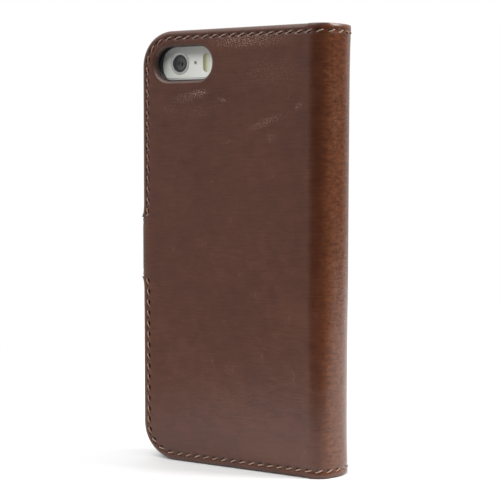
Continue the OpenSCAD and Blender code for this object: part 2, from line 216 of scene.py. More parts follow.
def hide_edge(s, z):
    """How far inside the cut edge of the hide a point lies."""
    s, z = np.asarray(s, float), np.asarray(z, float)
    from_end = np.minimum(z, height - z)
    radius = np.where(z < height / 2, corner_low, corner_high)
    near, low = radius - s, radius - from_end
    return np.where((near > 0) & (low > 0), radius - np.hypot(near, low), np.minimum(s, from_end))


lens_low, lens_high = mm_box("camera_lens")
window_run, window_r = 10.3, 5.04
window_s = (lens_low.x + lens_high.x) / 2 + 4.1 - free_x
window_z = (lens_low.z + lens_high.z) / 2 - 0.4


def window_edge(s, z, lift=0.0):
    """How far outside the camera window a point lies."""
    along = np.maximum(np.abs(s - window_s) - window_run / 2, 0)
    return np.hypot(along, z - window_z - lift) - window_r


def steps(start, stop, pitch):
    """Evenly spaced values from start to stop, both included, about pitch apart."""
    return np.linspace(start, stop, max(2, round(abs(stop - start) / pitch) + 1))


def window_ring(grow, lift=0.0):
    """Points round the camera window, moved out by grow."""
    right = [(window_s + window_run / 2 + (window_r + grow) * math.cos(a),
        window_z + (window_r + grow) * math.sin(a))
             for a in steps(-math.pi / 2, math.pi / 2, 0.09)]
    top = [(s, window_z + window_r + grow)
        for s in steps(window_run / 2, -window_run / 2, 0.6)[1:-1] + window_s]
    half = right + top
    return [(s, z + lift) for s, z in half + [(2 * window_s - s, 2 * window_z - z) for s, z in half]]


def hide_loop(inset, length, pitch):
    """The hide's outline, moved in by inset: spine end below, round the free edge, to spine end above."""
    low = [(s, inset) for s in steps(length, corner_low, pitch)]
    low += [(corner_low - (corner_low - inset) * math.sin(a), corner_low - (corner_low - inset) * math.cos(a))
            for a in steps(0, math.pi / 2, pitch / corner_low)[1:]]
    side = [(inset, z) for z in steps(corner_low, height - corner_high, pitch)[1:]]
    high = [(corner_high - (corner_high - inset) * math.cos(a),
        height - corner_high + (corner_high - inset) * math.sin(a))
            for a in steps(0, math.pi / 2, pitch / corner_high)[1:]]
    return low + side + high + [(s, height - inset) for s in steps(corner_high, length, pitch)[1:]]


def flat_pattern(length, insets, pitch, grid, rings=(), lift=0.0, fences=()):
    """Points and triangles of a sheet cut like the back: round at the free edge, straight at the spine."""
    points, borders, starts = [], [], []
    for inset in insets:
        starts.append(len(points))
        points += hide_loop(inset, length, pitch)
    starts.append(len(points))
    borders += [(i, i + 1) for i in range(starts[1] - 1)]
    side = steps(insets[-1], height - insets[-1], grid)[1:-1]
    points += [(length, z) for z in side]
    right = starts[:-1] + list(range(starts[-1], len(points))) + [i - 1 for i in starts[:0:-1]]
    borders += list(zip(right[:-1], right[1:]))
    for grow in rings:
        ring = window_ring(grow, lift)
        if grow == rings[0]:
            ids = list(range(len(points), len(points) + len(ring)))
            borders += list(zip(ids, ids[1:] + ids[:1]))
        points += ring
    for fence in fences:
        borders += [(len(points) + i, len(points) + i + 1) for i in range(len(fence) - 1)]
        points += fence
    bend_grid = steps(flat_len - 2, hide_len, 0.42)
    columns = np.concatenate([steps(0, flat_len - 2, grid)[:-1], bend_grid])
    grid_s, grid_z = (v.ravel() for v in np.meshgrid(columns, steps(0, height, grid)))
    keep = (hide_edge(grid_s, grid_z) > insets[-1] + grid * 0.45) & (grid_s < length - 0.3)
    if rings:
        keep &= window_edge(grid_s, grid_z, lift) > rings[-1] + grid * 0.35
    points += list(zip(grid_s[keep], grid_z[keep]))
    out = geometry.delaunay_2d_cdt([Vector(p) for p in points], borders, [], 0, 1e-5)
    where = np.array([tuple(p) for p in out[0]])
    triangles = np.array(out[2])
    middle = where[triangles].mean(axis=1)
    inside = hide_edge(middle[:, 0], middle[:, 1]) > insets[0] - 1e-3
    inside &= middle[:, 0] < length
    if rings:
        inside &= window_edge(middle[:, 0], middle[:, 1], lift) > rings[0] - 1e-3
    return where, triangles[inside]


def shell(name, where, triangles, outer, inner, place, material, shift=None):
    """A closed sheet from a flat pattern: its outer and inner depth, and walls at its edges."""
    used, triangles = np.unique(triangles, return_inverse=True)
    triangles = triangles.reshape(-1, 3)
    where, outer, inner = where[used], outer[used], inner[used]
    count = len(where)
    spots = np.concatenate([place(where[:, 0], where[:, 1], d) for d in (outer, inner)])
    sides = np.concatenate([triangles[:, [0, 1]], triangles[:, [1, 2]], triangles[:, [2, 0]]]).tolist()
    known = {tuple(e) for e in sides}
    faces = triangles.tolist() + (triangles[:, [0, 2, 1]] + count).tolist()
    faces += [(b, a, a + count, b + count) for a, b in sides if (b, a) not in known]
    mesh = bpy.data.meshes.new(name)
    mesh.from_pydata(spots.tolist(), [], faces)
    cut = np.zeros((2 * count, 3), np.float32)
    cut[:, :2] = np.concatenate([where, where])
    cut[:, 2] = np.concatenate([outer, inner])
    if shift:
        cut[:, 0] = shift(cut[:, 0])
    mesh.attributes.new("cut", "FLOAT_VECTOR", "POINT").data.foreach_set("vector", cut.ravel())
    work = bmesh.new()
    work.from_mesh(mesh)
    bmesh.ops.recalc_face_normals(work, faces=work.faces)
    work.to_mesh(mesh)
    work.free()
    mesh.materials.append(material)
    mesh.shade_smooth()
    mesh.set_sharp_from_angle(angle=math.radians(50))
    piece = bpy.data.objects.new(name, mesh)
    scene.collection.objects.link(piece)
    return piece


class Wire:
    """A socket of a material's nodes. Sums and products on it add Math nodes."""

    def __init__(self, finish, socket):
        self.finish, self.socket = finish, socket

    def _math(self, kind, *values):
        return self.finish.node("ShaderNodeMath", {"operation": kind}, dict(enumerate(values)))

    def __add__(self, other):
        return self._math("ADD", self, other)

    __radd__ = __add__

    def __sub__(self, other):
        return self._math("SUBTRACT", self, other)

    def __rsub__(self, other):
        return self._math("SUBTRACT", other, self)

    def __mul__(self, other):
        return self._math("MULTIPLY", self, other)

    __rmul__ = __mul__


class Finish:
    """A material mixed from nodes."""

    def __init__(self, name):
        self.material = bpy.data.materials.new(name)
        self.material.use_nodes = True
        self.tree = self.material.node_tree
        self.shader = self.tree.nodes["Principled BSDF"]

    def node(self, kind, settings, inputs, output=0):
        """Adds a node, sets its settings and then its sockets, and gives one output."""
        made = self.tree.nodes.new(kind)
        for key, value in settings.items():
            if key == "stops":
                ramp = made.color_ramp
                while len(ramp.elements) < len(value):
                    ramp.elements.new(0.5)
                for element, (place, shade) in zip(ramp.elements, value):
                    element.position = place
                    element.color = (*shade, 1)
            else:
                setattr(made, key, value)
        for key, value in inputs.items():
            self.plug(value, made.inputs[key])
        return Wire(self, made.outputs[output])

    def plug(self, value, socket):
        if isinstance(value, Wire):
            self.tree.links.new(value.socket, socket)
        elif isinstance(value, tuple) and socket.type == "RGBA":
            socket.default_value = (*value, 1)
        else:
            socket.default_value = value

    def set(self, **inputs):
        for key, value in inputs.items():
            self.plug(value, self.shader.inputs[key.replace("_", " ")])

    def flat(self, stretch=(1, 1, 1)):
        """Where the point lies on the flat leather, in millimetres, times stretch."""
        source = self.node("ShaderNodeAttribute", {"attribute_name": "cut"}, {}, "Vector")
        return self.node("ShaderNodeVectorMath", {"operation": "MULTIPLY"}, {0: source, 1: stretch})

    def solid(self, stretch=(1000, 1000, 1000)):
        """Where the point lies in the case, in millimetres, times stretch."""
        source = self.node("ShaderNodeTexCoord", {}, {}, "Object")
        return self.node("ShaderNodeVectorMath", {"operation": "MULTIPLY"}, {0: source, 1: stretch})

    def noise(self, vector, scale, detail=3.0, rough=0.55, twist=0.0):
        inputs = {"Vector": vector, "Scale": scale, "Detail": detail, "Roughness": rough, "Distortion": twist}
        return self.node("ShaderNodeTexNoise", {}, inputs)

    def mix(self, a, b, share, kind="MIX"):
        """Colour b laid over colour a by share."""
        settings = {"data_type": "RGBA", "blend_type": kind}
        return self.node("ShaderNodeMix", settings, {"Factor": share, 6: a, 7: b}, 2)

    def step(self, value, low, high, bottom=0.0, top=1.0):
        """bottom where value is under low, top where it is over high, smooth between."""
        settings = {"interpolation_type": "SMOOTHSTEP"}
        inputs = {"Value": value, "From Min": low, "From Max": high, "To Min": bottom, "To Max": top}
        return self.node("ShaderNodeMapRange", settings, inputs)

    def bumps(self, *layers):
        """Bump nodes one on another, each a height and its depth in millimetres."""
        normal = None
        for value, depth in layers:
            inputs = {"Height": value, "Distance": depth * mm, "Strength": 1.0}
            if normal:
                inputs["Normal"] = normal
            normal = self.node("ShaderNodeBump", {}, inputs)
        self.set(Normal=normal)


# Scuffs of the back, painted lighter with glints that are painted highlights: place on the hide (s, z), half
# length, half width, lean in degrees, strength
back_scuffs_and_glints = (
    (17, 110.5, 10, 2.6, 8, 0.8),
    (21, 111.6, 4.5, 1.5, 0, 1.1),
    (29.2, 109.2, 2.6, 1.0, -15, 1.2),
    (44.5, 102.5, 11, 2.4, 17, 0.8),
    (55.5, 107, 2.8, 1.6, 35, 0.9),
    (46, 98, 3.4, 3.6, 0, 0.6),
    (31.5, 97, 4.5, 1.1, 10, 0.5),
    (38, 125.8, 23, 3.0, 0, 1.15),
    (9, 107, 6, 2.4, 5, 0.4),
    (67, 104, 3.4, 24, 0, 0.5),
    (46, 117, 20, 9, 0, 0.4),
    (20, 106, 16, 4, 6, 0.4),
)


def flipped(s):
    """Keeps the grain running on across mid spine."""
    return 2 * hide_len - s


def waxed_leather(name, tone, scuffs_and_glints=()):
    """Brown waxed leather: mottled, finely grained, drawn into fine lines, with painted glints (painted
    highlights) on its scuffs, painted sheen and wear on its rims and painted shade in its stitch pits.
    """
    hide = Finish(name)
    at = hide.flat()
    cloud = hide.noise(at, 0.035, 3, 0.6)
    patch = hide.noise(at, 0.22, 4, 0.6, 0.6)
    fleck = hide.noise(at, 2.6, 3, 0.7)
    drawn = hide.noise(hide.flat((0.16, 2.0, 1)), 1.0, 4, 0.65, 0.4)
    dark, brown, tan, glint, rim = (tuple(tone * v for v in c) for c in (
        (0.050, 0.0135, 0.0058), (0.082, 0.0255, 0.0120), (0.19, 0.09, 0.05), (0.40, 0.265, 0.20),
        (0.12, 0.085, 0.073)))
    colour = hide.mix(dark, brown, hide.step(cloud * 0.35 + patch * 0.3 + drawn * 0.4, 0.36, 0.70))
    colour = hide.mix(colour, tan, hide.step(fleck, 0.56, 0.72) * 0.1)
    # Fine speckles and scuffs painted in the glint colour: partly real scuffs, partly painted highlights.
    scuff_and_glint = hide.step(drawn * 0.5 + fleck * 0.5, 0.57, 0.70) * 0.08
    burst = hide.step(hide.noise(hide.flat((2.4, 4.4, 1)), 1.0, 2, 0.6), 0.53, 0.63)
    for s, z, run, rise, lean, strength in scuffs_and_glints:
        turned = hide.node("ShaderNodeMapping", {"vector_type": "TEXTURE"}, {
            "Vector": at, "Location": (s, z, 0), "Rotation": (0, 0, math.radians(lean)),
            "Scale": (run, rise, 1e3)})
        reach = hide.node("ShaderNodeVectorMath", {"operation": "LENGTH"}, {0: turned}, "Value")
        scuff_and_glint = scuff_and_glint + hide.step(1 - reach, 0, 1) * burst * (0.75 * strength)
    if scuffs_and_glints:
        over = hide.node("ShaderNodeSeparateXYZ", {}, {0: at})
        pulled_tight = hide.step(over, flat_len + 3, flat_len + 7) * hide.step(over, flipped(flat_len + 7),
            flipped(flat_len + 3), 1.0, 0.0)
        amber = hide.step(hide.noise(hide.flat((0.5, 1.0, 1)), 1.0, 4, 0.65, 0.5), 0.3, 0.72)
        colour = hide.mix(colour, (0.165, 0.055, 0.019), pulled_tight * amber * 0.75)
    # Painted highlight: the glint colour laid over the scuffs and speckles.
    colour = hide.mix(colour, glint, hide.step(scuff_and_glint, 0.0, 1.0))
    pulled = hide.node("ShaderNodeAttribute", {"attribute_name": "pulled"}, {}, "Fac")
    rubbed = hide.node("ShaderNodeAttribute", {"attribute_name": "rubbed"}, {}, "Fac")
    # Painted reflection: rims are painted a paler grey where their rounding catches the light, together with
    # real wear. The rim colour is this painted sheen.
    colour = hide.mix(colour, rim, rubbed * 0.6)
    # Painted shade: stitch pits and the bottom edge are darkened where shade falls.
    colour = hide.mix(colour, (0.010, 0.004, 0.0025), pulled)
    cells = hide.node("ShaderNodeTexVoronoi", {"feature": "SMOOTH_F1"},
        {"Vector": at, "Scale": 1.5, "Smoothness": 0.4})
    hide.set(Base_Color=colour, Roughness=0.19 + patch * 0.12 + rubbed * 0.3)
    hide.bumps((cells, 0.010), (fleck, 0.008), (drawn, 0.028), (patch, 0.10))
    return hide.material


outer_leather = waxed_leather("outer_leather", 1.1, back_scuffs_and_glints)

edge_run, edge_drop = 1.9, 1.4
window_round = 0.9
stitch_pitch, stitch_run, stitch_lean = 3.3, 2.1, math.radians(19)


def row(points, count, lean=stitch_lean, margin=0.0):
    """Stitches evenly along a line of points: middle (s, z) and direction of each."""
    line = np.array(points, float)
    leg = np.hypot(*np.diff(line, axis=0).T)
    far = np.concatenate([[0], np.cumsum(leg)])
    out = []
    for i in range(count):
        t = margin + (far[-1] - 2 * margin) * (i + 0.5) / count
        k = min(np.searchsorted(far, t, "right") - 1, len(leg) - 1)
        way = (line[k + 1] - line[k]) / leg[k]
        spot = line[k] + way * (t - far[k])
        out.append((spot[0], spot[1], math.atan2(way[1], way[0]) + lean))
    return out


# The seam: along the bottom, round the free edge and along the top, with a gap for the strap
seam = hide_loop(seam_inset, hide_len, 0.3)
seam_low = [p for p in seam if p[1] < strap_mid - strap_half or p[0] > 20 and p[1] < height / 2]
seam_high = [p for p in seam if p[1] > strap_mid + strap_half]
seam_line = {False: (seam_low[::-1], seam_high), True: (seam,)}


def seam_stitches(mirrored):
    out = []
    for line in seam_line[mirrored]:
        line = np.array(line)
        if line[0][0] > line[-1][0] or mirrored:
            line = line[::-1]
        length = np.hypot(*np.diff(line, axis=0).T).sum()
        out += row(line, round(length / stitch_pitch))
    return out


def dents(s, z, stitches):
    """Depth of the stitches' dents, and the painted shade of their pits."""
    deep, dark = np.zeros(len(s)), np.zeros(len(s))
    for mid_s, mid_z, turn in stitches:
        near = np.hypot(s - mid_s, z - mid_z) < 2.5
        if not near.any():
            continue
        along = (s[near] - mid_s) * math.cos(turn) + (z[near] - mid_z) * math.sin(turn)
        across = -(s[near] - mid_s) * math.sin(turn) + (z[near] - mid_z) * math.cos(turn)
        bed = np.exp(-(across / 0.42) ** 2 - (along / 1.25) ** 4)
        pit = np.exp(-((across - 0.38) / 0.32) ** 2 - ((along + 0.5) / 0.6) ** 2)
        deep[near] = np.maximum(deep[near], 0.16 * bed + 0.36 * pit)
        # The pit's darkness is painted shade beside the thread.
        dark[near] = np.maximum(dark[near], np.clip(pit * 1.4, 0, 0.9))
    return deep, dark


def edge_profile(inside, run, drop):
    """How far the surface has sunk near a rounded edge."""
    short = np.clip((run - inside) / run, 0, 1)
    return drop * (1 - np.sqrt(np.maximum(1 - short**2, 0)))


def board_depth(s):
    """Depth of the turned rim: the board's thickness on the panels, thin in the bends."""
    rim = rim_t - (rim_t - skin_t) * ease(s, flat_len - 1, flat_len + 1)
    return rim + 0.7 * ease(s, flat_len + bend_len - 1, flat_len + bend_len + 1)


def paint(piece, name, values):
    """Adds a number to each point of a piece, for its material."""
    piece.data.attributes.new(name, "FLOAT", "POINT").data.foreach_set("value", values.astype(np.float32))


rim_insets = (0, 0.04, 0.13, 0.27, 0.45, 0.7, 0.95, 1.2, 1.45, 1.7, 1.95, 2.2, 2.45, 2.7, 3.0, 3.4, 4.1)
window_rings = (0, 0.04, 0.14, 0.3, 0.55, 0.9, 1.3, 1.8, 2.4)


def make_hide(name, mirrored, window):
    """Half of the hide, from the free edge to mid spine."""
    low, high = strap_mid - strap_half, strap_mid + strap_half
    fence = [(-1, low), (strap_join, low), (strap_join, high), (-1, high)] if not mirrored else []
    where, triangles = flat_pattern(hide_len, rim_insets, 0.42, 1.25, window_rings if window else (), 0,
        [fence] if fence else ())
    s, z = where[:, 0], where[:, 1]
    if not mirrored:
        middle = where[triangles].mean(axis=1)
        triangles = triangles[(middle[:, 0] > strap_join) | (np.abs(middle[:, 1] - strap_mid) > strap_half)]
    inside = hide_edge(s, z)
    rim = board_depth(s)
    flush = 1.0 if mirrored else ease(np.abs(z - strap_mid), strap_half - 0.01, strap_half + 1.6)
    taut = 1 - 0.5 * ease(s, flat_len, flat_len + 4)
    outer = edge_profile(inside, edge_run, np.minimum(edge_drop, rim - 0.25) * taut * (0.35 + 0.65 * flush))
    outer += 0.16 * np.exp(-(((inside - seam_inset) / 0.6) ** 2)) * flush * taut
    deep, dark = dents(s, z, seam_stitches(mirrored))
    outer += deep * taut
    # Painted contact shadow along the bottom edge, where the case stands.
    dark = np.maximum(dark, 0.9 * (1 - ease(inside, 0.15, 0.5)) * (1 - ease(z, 1, 2)))
    inner = np.where(inside < 0.7, rim, skin_t)
    # Painted sheen on the top rim and the free edge, where the rounded leather reflects the light, besides
    # their wear.
    rubbed = 0.45 * (1 - ease(inside, 0.2, 1.1)) * ease(z, height - 4, height - 1)
    rubbed = np.maximum(rubbed, 0.4 * (1 - ease(inside, 0.8, 1.7)) * (1 - ease(s, 1, 3)))
    if window:
        beyond = window_edge(s, z)
        # The window's rim is painted paler, most below its middle where the rim faces up to the light:
        # painted highlight and wear.
        rubbed = np.maximum(rubbed,
            (1 - ease(beyond, 0.15, 0.8)) * (0.5 + 0.5 * ease(window_z - z, 0, window_r)))
        outer = np.maximum(outer, edge_profile(beyond, window_round, window_round))
        inner = np.where(beyond < 0.7, rim_t, inner)
    inner = np.maximum(inner, outer + 0.2)
    place = lambda s, z, depth: hide_to_case(s, z, depth, mirrored)
    used = np.unique(triangles)
    piece = shell(name, where, triangles, outer, inner, place, outer_leather, flipped if mirrored else None)
    for attribute, values in (("pulled", dark), ("rubbed", rubbed)):
        paint(piece, attribute, np.concatenate([values[used], np.zeros(len(used))]))
    return piece


def across(point):
    """The same point on the cover's side of the case."""
    return Vector((point.x, case_t * mm - point.y, point.z))


def on_back_bend(piece, *nodes):
    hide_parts(*nodes)
    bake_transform(piece)


def on_cover_bend(piece, *nodes):
    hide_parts(*nodes)
    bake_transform(piece)


back_leather = make_hide("back_leather", False, True)
on_back_bend(back_leather, "back_skin", "back_fold", "spine_skin")
cover_leather = make_hide("cover_leather", True, False)
on_cover_bend(cover_leather, "cover_skin", "front_fold", "spine_skin")


# ---- Lining ----
# Black microfibre glued inside the back, the spine and the cover, over the boards and the
# turned rim of the leather. Its edge shows as a thin dark line under the leather; along the bottom that line
# is painted shade on the leather's edge.

microfibre = Finish("lining_fabric")
nap_at = microfibre.flat()
nap = microfibre.noise(nap_at, 5.0, 3, 0.7)
nap_cloud = microfibre.noise(nap_at, 0.12, 3, 0.6)
microfibre.set(
    Base_Color=microfibre.mix((0.010, 0.009, 0.0085), (0.024, 0.021, 0.019),
    microfibre.step(nap * 0.6 + nap_cloud * 0.4, 0.35, 0.65)),
    Roughness=0.85 + nap * 0.1,
    Sheen_Weight=0.25,
    Sheen_Roughness=0.5,
)
microfibre.bumps((nap, 0.05))


def make_lining(name, mirrored, window):
    """Half of the lining, from the free edge to mid spine."""
    lift = 0.35
    where, triangles = flat_pattern(hide_len, (0.35, 0.42, 0.6, 1.2, 2.4), 1.1, 2.2,
        (0, 0.1, 0.4, 1.4) if window else (), lift)
    s, z = where[:, 0], where[:, 1]
    outer = board_depth(s)
    inner = outer + lining_t - edge_profile(hide_edge(s, z) - 0.35, 0.2, 0.2)
    place = lambda s, z, depth: hide_to_case(s, z, depth, mirrored)
    return shell(name, where, triangles, outer, inner, place, microfibre.material,
        flipped if mirrored else None)


inside_back = make_lining("inside_back", False, True)
on_back_bend(inside_back, "back_lining", "spine_lining")
inside_cover = make_lining("inside_cover", True, False)
on_cover_bend(inside_cover, "cover_lining", "spine_lining")


# ---- Stitches of the panels ----
# Waxed tan thread sewn by machine, about seven and a half stitches to 25 mm. Each lies slanting
# in its own dent and dives into the leather at both ends.

tan_thread = Finish("thread")
ply_at = tan_thread.node("ShaderNodeAttribute", {"attribute_name": "along"}, {}, "Vector")
ply = tan_thread.node("ShaderNodeTexWave", {"bands_direction": "DIAGONAL"},
    {"Vector": ply_at, "Scale": 1.2, "Distortion": 0.4})
fluff = tan_thread.noise(tan_thread.solid(), 2.2, 2, 0.6)
tan_thread.set(
    Base_Color=tan_thread.mix((0.11, 0.056, 0.034), (0.41, 0.255, 0.18),
    tan_thread.step(ply * 0.55 + fluff * 0.6, 0.25, 0.85)),
    Roughness=0.42 + fluff * 0.2,
)
tan_thread.bumps((ply, 0.04))


def stitch_tree():
    """Geometry Nodes: one arched thread on each point, turned as the point says."""
    tree = bpy.data.node_groups.new("stitches", "GeometryNodeTree")
    tree.is_modifier = True
    face = tree.interface
    face.new_socket("Geometry", in_out="INPUT", socket_type="NodeSocketGeometry")
    for name, kind in (("Length", "Float"), ("Thickness", "Float"), ("Arch", "Float"), ("Wander", "Float"),
            ("Seed", "Int"), ("Thread", "Material")):
        face.new_socket(name, in_out="INPUT", socket_type="NodeSocket" + kind)
    face.new_socket("Geometry", in_out="OUTPUT", socket_type="NodeSocketGeometry")

    def node(kind, settings=None, inputs=None, output=0):
        made = tree.nodes.new(kind)
        for key, value in (settings or {}).items():
            setattr(made, key, value)
        for key, value in (inputs or {}).items():
            if isinstance(value, bpy.types.NodeSocket):
                tree.links.new(value, made.inputs[key])
            else:
                made.inputs[key].default_value = value
        return made.outputs[output]

    given = tree.nodes.new("NodeGroupInput").outputs

    def maths(kind, a, b):
        return node("ShaderNodeMath", {"operation": kind}, {0: a, 1: b})

    half = maths("MULTIPLY", given["Length"], 0.5)
    back = maths("MULTIPLY", half, -1.0)
    dive = maths("MULTIPLY", given["Arch"], -1.6)
    start = node("ShaderNodeCombineXYZ", {}, {0: back, 2: dive})
    end = node("ShaderNodeCombineXYZ", {}, {0: half, 2: dive})
    rise = maths("MULTIPLY", given["Arch"], 2.2)
    first = node("ShaderNodeCombineXYZ", {}, {0: maths("MULTIPLY", back, 0.85), 2: rise})
    second = node("ShaderNodeCombineXYZ", {}, {0: maths("MULTIPLY", half, 0.85), 2: rise})
    arc = node("GeometryNodeCurvePrimitiveBezierSegment", {},
        {"Resolution": 7, "Start": start, "Start Handle": first, "End Handle": second, "End": end})
    ring = node("GeometryNodeCurvePrimitiveCircle", {},
        {"Resolution": 6, "Radius": maths("MULTIPLY", given["Thickness"], 0.5)})
    thread = node("GeometryNodeCurveToMesh", {}, {"Curve": arc, "Profile Curve": ring, "Fill Caps": True})
    place = node("GeometryNodeInputPosition")
    thread = node("GeometryNodeStoreNamedAttribute", {"data_type": "FLOAT_VECTOR", "domain": "POINT"},
        {"Geometry": thread, "Name": "along",
        "Value": node("ShaderNodeVectorMath", {"operation": "SCALE"}, {0: place, "Scale": 1000.0})})
    turn = node("GeometryNodeInputNamedAttribute", {"data_type": "FLOAT_VECTOR"}, {"Name": "turn"})
    spin = node("FunctionNodeRandomValue", {"data_type": "FLOAT"},
        {2: maths("MULTIPLY", given["Wander"], -1.0), 3: given["Wander"], "Seed": given["Seed"]}, 1)
    local = node("ShaderNodeCombineXYZ", {}, {2: spin})
    turned = node("FunctionNodeRotateRotation", {"rotation_space": "LOCAL"},
        {"Rotation": node("FunctionNodeEulerToRotation", {}, {0: turn}),
        "Rotate By": node("FunctionNodeEulerToRotation", {}, {0: local})})
    placed = node("GeometryNodeInstanceOnPoints", {},
        {"Points": given["Geometry"], "Instance": thread, "Rotation": turned})
    real = node("GeometryNodeRealizeInstances", {}, {"Geometry": placed})
    dressed = node("GeometryNodeSetMaterial", {}, {"Geometry": real, "Material": given["Thread"]})
    smooth_face = node("GeometryNodeSetShadeSmooth", {}, {"Geometry": dressed})
    result = tree.nodes.new("NodeGroupOutput")
    tree.links.new(smooth_face, result.inputs["Geometry"])
    return tree


sewing = stitch_tree()


def sew(name, stitches, place, sink=0.0, seed=3, length=stitch_run, thickness=0.47, arch=0.16):
    """Threads at stitches (s, z, turn), laid on the surface that place gives at depth sink."""
    spots, turns = [], []
    for s, z, turn in stitches:
        step = 0.2
        points = place(*np.array([(s, z, sink),
            (s + step * math.cos(turn), z + step * math.sin(turn), sink), (s, z, sink + step)]).T)
        middle, ahead, under = (Vector(p) for p in points)
        along = (ahead - middle).normalized()
        out = (middle - under).normalized()
        side = out.cross(along).normalized()
        spots.append(middle)
        turns.append(Matrix((along, side, along.cross(side))).transposed().to_euler())
    mesh = bpy.data.meshes.new(name)
    mesh.from_pydata([tuple(p) for p in spots], [], [])
    mesh.attributes.new("turn", "FLOAT_VECTOR", "POINT").data.foreach_set("vector",
        np.array([tuple(t) for t in turns], np.float32).ravel())
    piece = bpy.data.objects.new(name, mesh)
    scene.collection.objects.link(piece)
    modifier = piece.modifiers.new("sewing", "NODES")
    modifier.node_group = sewing
    sizes = {"Length": length * mm, "Thickness": thickness * mm, "Arch": arch * mm, "Wander": 0.09,
        "Seed": seed, "Thread": tan_thread.material}
    for item in sewing.interface.items_tree:
        if item.in_out == "INPUT" and item.name in sizes:
            modifier[item.identifier] = sizes[item.name]
    sewn = bpy.data.meshes.new_from_object(piece.evaluated_get(bpy.context.evaluated_depsgraph_get()))
    piece.modifiers.remove(modifier)
    piece.data = sewn
    return piece


def on_hide(mirrored):
    return lambda s, z, depth: hide_to_case(s, z, depth, mirrored)


back_thread = sew("back_thread", seam_stitches(False), on_hide(False), 0.2, 3)
on_back_bend(back_thread, "back_stitches", "spine_stitches")
cover_thread = sew("cover_thread", seam_stitches(True), on_hide(True), 0.2, 5)
on_cover_bend(cover_thread, "cover_stitches", "spine_stitches")


# ---- Strap ----
# A strap of the same leather runs on from the back's free edge, over the case's open side. It
# ends in a tab that holds a magnet. Both are lined, and sewn along their edges.

tab_low, tab_high = mm_box("tab_skin")
strap_x, tab_x = strap_low.x - 0.3, tab_low.x - 0.3
strap_y0, strap_y1 = strap_low.y, strap_high.y
strap_end = tab_high.y
strap_skin_t = strap_high.x - strap_low.x
tab_r = 7.0
strap_split = (strap_y0 + strap_y1) / 2 + 0.2


def strap_path():
    """The strap's outer face seen from above, as points from the back to the tab's end."""
    bend_run, bend_drop = 4.0, strap_y0 + 0.5
    start = strap_x + bend_run
    join_x = hide_to_case(strap_join, strap_mid, 0, False)[0] / mm
    points = [(x, 0.0) for x in steps(join_x, start, 0.5)]
    points += [(start - bend_run * math.sin(a), bend_drop * (1 - math.cos(a)))
        for a in steps(0, math.pi / 2, 0.06)[1:]]
    for y in steps(bend_drop, strap_end, 0.25)[1:]:
        points.append((strap_x + (tab_x - strap_x) * float(ease(y, strap_y1 - 0.8, strap_y1 + 3.4)), y))
    return np.array(points)


strap_line = strap_path()
strap_far = np.concatenate([[0], np.cumsum(np.hypot(*np.diff(strap_line, axis=0).T))])
strap_way = np.gradient(strap_line, strap_far, axis=0)
strap_way /= np.hypot(*strap_way.T)[:, None]


def strap_at(y):
    """How far along the strap its outer face comes to y."""
    return float(np.interp(y, strap_line[:, 1], strap_far))


def strap_to_case(t, z, depth):
    """Places strap points: t along from the back, z up, depth inwards."""
    t, z, depth = (np.asarray(v, float) for v in (t, z, depth))
    spot = [np.interp(t, strap_far, strap_line[:, k]) for k in (0, 1)]
    way = [np.interp(t, strap_far, strap_way[:, k]) for k in (0, 1)]
    return np.stack([spot[0] + way[1] * depth, spot[1] - way[0] * depth, z], axis=-1) * mm


def strap_edge(t, z):
    """How far inside the strap's cut edge a point lies; the tab's end is rounded."""
    side = strap_half - np.abs(z - strap_mid)
    end = strap_far[-1] - t
    corner = tab_r - np.hypot(tab_r - side, tab_r - end)
    return np.where((side < tab_r) & (end < tab_r), corner, np.minimum(side, end))


def strap_pattern(t0, t1, pitch):
    """Points and triangles of a length of strap."""
    rounded = t1 > strap_far[-1] - 1
    insets = (0, 0.06, 0.16, 0.3, 0.5, 0.8, 1.2, 1.5, 1.8, 2.1, 2.5, 3.1)
    points, borders, ends = [], [], []
    for inset in insets:
        half = strap_half - inset
        if rounded:
            stop = strap_far[-1] - tab_r
            loop = [(t, -half) for t in steps(t0, stop, pitch)]
            loop += [(stop + (tab_r - inset) * math.sin(a),
                -(strap_half - tab_r) - (tab_r - inset) * math.cos(a))
                for a in steps(0, math.pi / 2, 0.09)[1:]]
            loop += [(t, -z) for t, z in loop[::-1]]
            ends.append((len(points), len(points) + len(loop) - 1))
            if inset == 0:
                borders += [(i, i + 1) for i in range(len(loop) - 1)]
            points += loop
        else:
            for side in (-1, 1):
                loop = [(t, side * half) for t in steps(t0, t1, pitch)]
                if inset == 0:
                    borders += [(len(points) + i, len(points) + i + 1) for i in range(len(loop) - 1)]
                points += loop
    points += [(t, z) for t in steps(t0, t1 - (3.5 if rounded else 0), pitch)
        for z in steps(-strap_half + 3.8, strap_half - 3.8, 1.2)]
    out = geometry.delaunay_2d_cdt([Vector(p) for p in points], borders, [], 0, 1e-5)
    where = np.array([tuple(p) for p in out[0]])
    where[:, 1] += strap_mid
    triangles = np.array(out[2])
    middle = where[triangles].mean(axis=1)
    keep = strap_edge(middle[:, 0], middle[:, 1]) > -1e-3
    return where, triangles[keep]


strap_row = 1.8
leave = strap_at(strap_y0 + 2.4)
strap_seam = [(t, strap_mid + side * (strap_half - strap_row)) for side in (-1, 1)
    for t in (leave, strap_at(strap_split))]
root_stitches = row(strap_seam[:2], 2) + row(strap_seam[3:1:-1], 2)
tab_stop = strap_far[-1] - tab_r
tab_curve = [(tab_stop + (tab_r - strap_row) * math.sin(a),
    -(strap_half - tab_r) - (tab_r - strap_row) * math.cos(a)) for a in steps(0, math.pi / 2, 0.1)]
tab_half = [(strap_at(strap_split), -(strap_half - strap_row))] + tab_curve
tab_loop = [(t, strap_mid + z) for t, z in tab_half + [(t, -z) for t, z in tab_half[::-1]]]
tab_sewn = row(tab_loop, round(2 * (strap_far[-1] - strap_at(strap_split)) / stitch_pitch + 2))


